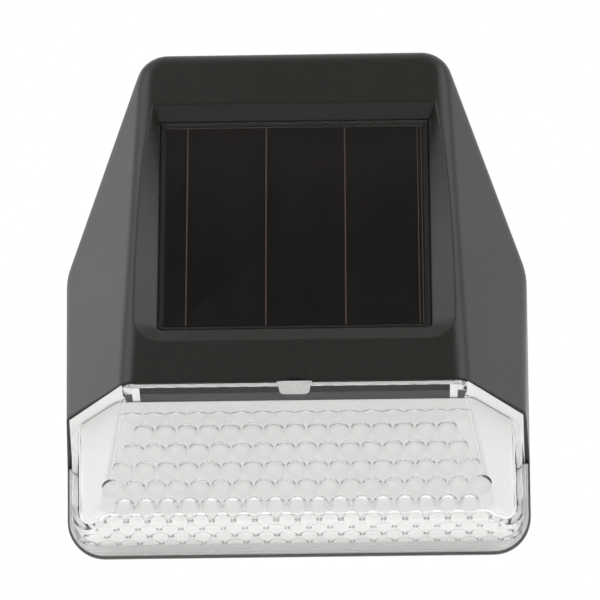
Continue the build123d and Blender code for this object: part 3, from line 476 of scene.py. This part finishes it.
def lens_bumps():
    """Domes in rows, every second row set off by half a pitch: rings of a ball's cap, each as high as the
    ball's radius times the cosine of its angle, over flat rings sunk into the lens. All are bent round the
    nose, and domes at the edge of the pad are cut straight."""
    row = np.arange(-1, row_count - 1)
    down = second_row + row * row_pitch
    column = np.arange(-bump_columns, bump_columns + 1)
    across = (column[None, :] + (row[:, None] % 2) / 2) * bump_pitch
    down = np.broadcast_to(down[:, None], across.shape)
    kept = np.abs(across) < flat_half_width(down) - pad_margin
    across, down = across[kept], down[kept]
    ball = bump_radius / sin(bump_edge_slope)
    tilt = np.linspace(bump_edge_slope, 0, bump_rings + 1)[:-1]
    rise = ball * (np.cos(tilt) - cos(bump_edge_slope)) + bump_seat
    rise = np.concatenate([rise, np.full(bump_rings - 1, bump_seat)])
    spread = np.concatenate([ball * np.sin(tilt), ball * np.sin(tilt[1:])])
    angle = np.arange(bump_segments) * 2 * pi / bump_segments
    ring_across = across[:, None, None] + spread[:, None] * np.cos(angle)
    ring_down = down[:, None, None] + spread[:, None] * np.sin(angle)
    rings = np.stack([ring_across, ring_down, np.broadcast_to(rise[:, None], ring_across.shape)], axis=-1)
    rings = rings.reshape(len(across), -1, 3)
    height = ball * (1 - cos(bump_edge_slope)) + bump_seat
    top = np.stack([across, down, np.full_like(across, height)], axis=-1)
    seat = np.stack([across, down, np.full_like(across, bump_seat)], axis=-1)
    grid = np.concatenate([rings, top[:, None], seat[:, None]], axis=1)
    half = flat_half_width(grid[..., 1]) + pad_overlap
    grid[..., 0] = np.clip(grid[..., 0], -half, half)
    grid[..., 1] = np.maximum(grid[..., 1], pad_start)
    forward, up = inside_lens(grid[..., 1], grid[..., 2])
    points = place(grid[..., 0], forward, up)
    last = (bump_rings - 1) * bump_segments
    dome = quads(bump_rings, bump_segments, closed=True)
    under = quads(bump_rings - 1, bump_segments, bump_rings * bump_segments, closed=True)[:, ::-1]
    edge = np.arange(bump_segments)
    after = (edge + 1) % bump_segments
    below = last + bump_segments
    joint = np.stack([after, edge, edge + below, after + below], axis=-1)
    tip = (2 * bump_rings - 1) * bump_segments
    cap = np.stack([edge + last, after + last, np.full_like(edge, tip)], axis=-1)
    inner = (2 * bump_rings - 2) * bump_segments
    base = np.stack([after + inner, edge + inner, np.full_like(edge, tip + 1)], axis=-1)
    four = np.concatenate([dome, under, joint])
    three = np.concatenate([cap, base])
    offsets = np.arange(len(across)) * points.shape[1]
    four = (four[None] + offsets[:, None, None]).reshape(-1, 4)
    three = (three[None] + offsets[:, None, None]).reshape(-1, 3)
    faces = four.tolist() + three.tolist()
    return mesh_piece("lens_bumps", points, faces, materials["clear_plastic"], "clear_plastic", radians(25))


lens_bumps()

# ---------------------------------------------------------------- edges of the lens


def foot_beads():
    """Fine beads on the flange round the foot of the lens: a ring of points round each point of a path that
    runs down one side, along a quarter of an ellipse, along the bottom and up the other side."""
    turn = np.linspace(0, pi / 2, corner_steps)
    points, faces = [], []
    for side_inset, foot_inset in bead_insets:
        half = body_half_width - foot_step - side_inset
        bottom = -half_height + foot_step + foot_inset
        wide = foot_corner - foot_step - side_inset
        tall = foot_corner - foot_step - foot_inset
        left = np.stack([-half + wide * (1 - np.cos(turn)), bottom + tall * (1 - np.sin(turn))], axis=-1)
        left = np.concatenate([[[-half, bead_top]], left])
        path = np.concatenate([left, left[::-1] * [-1, 1]])
        along = np.gradient(path, axis=0)
        along /= np.linalg.norm(along, axis=1, keepdims=True)
        angle = np.arange(bead_sides) * 2 * pi / bead_sides
        aside = bead_radius * np.cos(angle)
        across = path[:, :1] - along[:, 1:] * aside
        up = path[:, 1:] + along[:, :1] * aside
        forward = foot_face + bead_radius * (bead_seat + np.sin(angle))
        tube = place(across, forward, up).reshape(-1, 3)
        start = sum(len(p) for p in points)
        last = start + len(tube) - bead_sides
        ends = [list(range(start, start + bead_sides))[::-1], list(range(last, last + bead_sides))]
        faces += quads(len(path), bead_sides, start, closed=True).tolist() + ends
        points.append(tube)
    finish = materials["clear_plastic"]
    return mesh_piece("foot_beads", np.concatenate(points), faces, finish, "clear_plastic", 1.2)


def side_ridge(name, side):
    """A fine ridge moulded on the inside of the lens: a ring of points round each point of a straight line
    down its flat front, sunk into it by a third of its radius."""
    down = np.linspace(*ridge_reach, ridge_steps)[:, None]
    angle = (np.arange(ridge_sides) * 2 * pi / ridge_sides)[None, :]
    middle = np.linspace(*ridge_across, ridge_steps)[:, None]
    across = side * (middle + ridge_radius * np.cos(angle))
    inset = ridge_radius * (ridge_seat + np.sin(angle)) + 0 * down
    forward, up = inside_lens(down + 0 * angle, inset)
    points = place(across, forward, up)
    last = (ridge_steps - 1) * ridge_sides
    ends = [list(range(ridge_sides))[::-1], list(range(last, last + ridge_sides))]
    faces = quads(ridge_steps, ridge_sides, closed=True).tolist() + ends
    if side > 0:
        faces = [face[::-1] for face in faces]
    return mesh_piece(name, points, faces, materials["clear_plastic"], "clear_plastic", 1.0)


def frosted_tab():
    """The rough mark where the lens was broken off its runner, over the clear tab: a slab whose sides lean in
    towards two round lower corners, and whose height waves a little."""
    down = np.linspace(0, tab_drop, tab_rows)[:, None]
    part = np.linspace(-1, 1, tab_columns)[None, :]
    to_foot = np.clip(tab_drop - down, 0, tab_corner)
    round_off = tab_corner - np.sqrt(tab_corner**2 - (tab_corner - to_foot) ** 2)
    lean = tab_half_width + (tab_foot_half_width - tab_half_width) * np.sqrt(down / tab_drop)
    across = part * (lean - round_off)
    wave = tab_wave * np.sin(across * tab_wave_turns[0]) * np.cos(down * tab_wave_turns[1])
    layers = []
    for rise in (tab_rise + wave, -tab_sink + 0 * wave):
        slant = down + tab_start
        forward = lens_top_forward - slant * sin(lens_slope) + rise * cos(lens_slope)
        up = lens_top_up - slant * cos(lens_slope) - rise * sin(lens_slope)
        layers.append(place(across, forward, up))
    points, faces = slab(*layers)
    return mesh_piece("frosted_tab", points, faces, frosted, "clear_plastic", radians(50))


def under_deck(name, outer, inner, material, slot):
    """A thin sheet just under the deck of the housing, between two lines of points given by their distance
    across and in front of the wall: straight from line to line, on a plane that falls towards the wall."""
    share = np.linspace(0, 1, sheet_rows)[:, None, None]
    lines = np.array(outer)[None] * (1 - share) + np.array(inner)[None] * share
    layers = []
    for depth in sheet_depths:
        across, forward = lines[..., 0], lines[..., 1]
        up = joint_up + forward * joint_rise / body_depth - depth
        layers.append(place(across, forward, up))
    points, faces = slab(*layers)
    return mesh_piece(name, points, faces, material, slot, radians(30))


foot_beads()
frosted_tab()
for side, name in ((-1, "left"), (1, "right")):
    side_ridge(name + "_lens_ridge", side)
    outer = [(side * across, forward) for across, forward in ear_outer]
    inner = [(side * across, forward) for across, forward in ear_inner]
    under_deck(name + "_reflector_ear", outer, inner, materials["white_plastic"], "white_plastic")
    outer = [(side * across, deck_strip_front) for across in rib_across]
    inner = [(side * across, deck_strip_back) for across in rib_across]
    under_deck(name + "_reflector_rib", outer, inner, materials["white_plastic"], "white_plastic")
half_strip = min(rib_across)
# A thin dark sheet under the middle of the deck, between the ribs: painted shade where the underside of the
# deck is in shade
under_deck(
    "deck_painted_shade_sheet",
    [(-half_strip, deck_strip_front), (half_strip, deck_strip_front)],
    [(-half_strip, deck_strip_back), (half_strip, deck_strip_back)],
    painted_shade_plastic,
    "housing_plastic",
)

# ---------------------------------------------------------------- solar panel's fine lines


def scribe_lines():
    """Thin bare strips in and round the film: each a flat slab, down the panel or across it."""
    inside = panel_height - 2 * film_border
    rows = panel_top + film_border + np.linspace(0, inside, line_steps)
    strips = [(middle, scribe_width, rows) for middle in scribe_across]
    strips += [(edge, border_width, rows) for edge in border_across]
    points, faces = [], []
    for middle, width, rows in strips:
        side = middle + np.array([-0.5, 0.5])[None, :] * width
        depths = film_depth + np.array([-scribe_rise, scribe_bottom])
        layers = [on_slope(side, rows[:, None], depth) for depth in depths]
        strip, strip_faces = slab(*layers)
        faces += (np.array(strip_faces) + sum(len(p) for p in points)).tolist()
        points.append(strip)
    rows = panel_top + film_border - border_gap + np.array([0.0, border_width])
    columns = np.linspace(-panel_width / 2 + film_border, panel_width / 2 - film_border, line_steps)
    depths = film_depth + np.array([border_sink, scribe_bottom])
    layers = [on_slope(columns[None, :], rows[:, None], depth) for depth in depths]
    strip, strip_faces = slab(*layers)
    faces += (np.array(strip_faces) + sum(len(p) for p in points)).tolist()
    points.append(strip)
    return mesh_piece("scribe_lines", np.concatenate(points), faces, scribed, "copper", radians(30))


scribe_lines()

# ---------------------------------------------------------------- floor, world, lamps and camera


def pale_floor():
    """A flat square grid under the lamp, seen only from above."""
    side = np.linspace(-floor_reach, floor_reach, floor_rows)
    points = place(side[None, :], -side[:, None], -floor_drop)
    material, tree, output, where = new_material("painted_pale_floor")
    wash = blend_colours(tree, noise(tree, where, 400.0), "f2f2f1", "f6f6f5")
    paint = add_node(tree, "ShaderNodeBsdfPrincipled", inputs={"Base Color": wash, "Roughness": 0.7})
    hole = add_node(tree, "ShaderNodeBsdfTransparent")
    behind = add_node(tree, "ShaderNodeNewGeometry").outputs["Backfacing"]
    mix = add_node(
        tree, "ShaderNodeMixShader", inputs={0: behind, 1: paint.outputs["BSDF"], 2: hole.outputs["BSDF"]}
    )
    tree.links.new(mix.outputs["Shader"], output.inputs["Surface"])
    floor = mesh_piece("pale_floor", points, quads(floor_rows, floor_rows).tolist(), material, None)


def studio_world():
    """White all round, but dark towards the open front of the light tent, which the flat faces mirror."""
    world = bpy.data.worlds.new("studio")
    bpy.context.scene.world = world
    world.use_nodes = True
    tree = world.node_tree
    tree.nodes.clear()
    direction = add_node(tree, "ShaderNodeTexCoord").outputs["Generated"]
    towards_front = add_node(
        tree, "ShaderNodeVectorMath", {"operation": "DOT_PRODUCT"}, {0: direction, 1: (0.0, -1.0, 0.0)}
    ).outputs["Value"]
    level = add_node(
        tree,
        "ShaderNodeMapRange",
        {"interpolation_type": "SMOOTHSTEP"},
        {
            "Value": towards_front,
            "From Min": white_from,
            "From Max": dark_from,
            "To Min": 1.0,
            "To Max": dark_level,
        },
    ).outputs["Result"]
    light = add_node(tree, "ShaderNodeBackground", inputs={"Color": (1, 1, 1, 1), "Strength": level})
    output = add_node(tree, "ShaderNodeOutputWorld")
    tree.links.new(light.outputs["Background"], output.inputs["Surface"])


def soft_lamp(name, spot, power):
    """A square soft lamp at a point, turned to the middle of the object."""
    data = bpy.data.lights.new(name, "AREA")
    data.shape = "SQUARE"
    data.size = lamp_size * mm
    data.energy = power
    lamp = bpy.data.objects.new(name, data)
    lamp.location = Vector(place(*spot))
    lamp.rotation_euler = (-lamp.location).to_track_quat("-Z", "Y").to_euler()
    bpy.context.scene.collection.objects.link(lamp)


def photo_camera():
    """A long lens at the photograph's angle."""
    data = bpy.data.cameras.new("camera")
    data.lens = data.sensor_width * pixels_per_mm * camera_distance / image_side
    data.clip_end = 100
    camera = bpy.data.objects.new("camera", data)
    back = Vector(
        (
            sin(camera_azimuth) * cos(camera_elevation),
            -cos(camera_azimuth) * cos(camera_elevation),
            sin(camera_elevation),
        )
    )
    camera.location = back * camera_distance * mm
    aim = Vector((aim_across, 0, aim_up)) * mm
    turn = (aim - camera.location).to_track_quat("-Z", "Y").to_matrix() @ Matrix.Rotation(camera_roll, 3, "Z")
    camera.rotation_euler = turn.to_euler()
    bpy.context.scene.collection.objects.link(camera)
    bpy.context.scene.camera = camera


pale_floor()
studio_world()
soft_lamp("left_front_lamp", (-450, 350, 500), 2.8)
soft_lamp("right_front_lamp", (450, 350, 500), 2.8)
soft_lamp("left_back_lamp", (-700, -220, 250), 1.4)
soft_lamp("right_back_lamp", (700, -220, 250), 0.8)
photo_camera()
bpy.context.scene.view_settings.view_transform = "Standard"
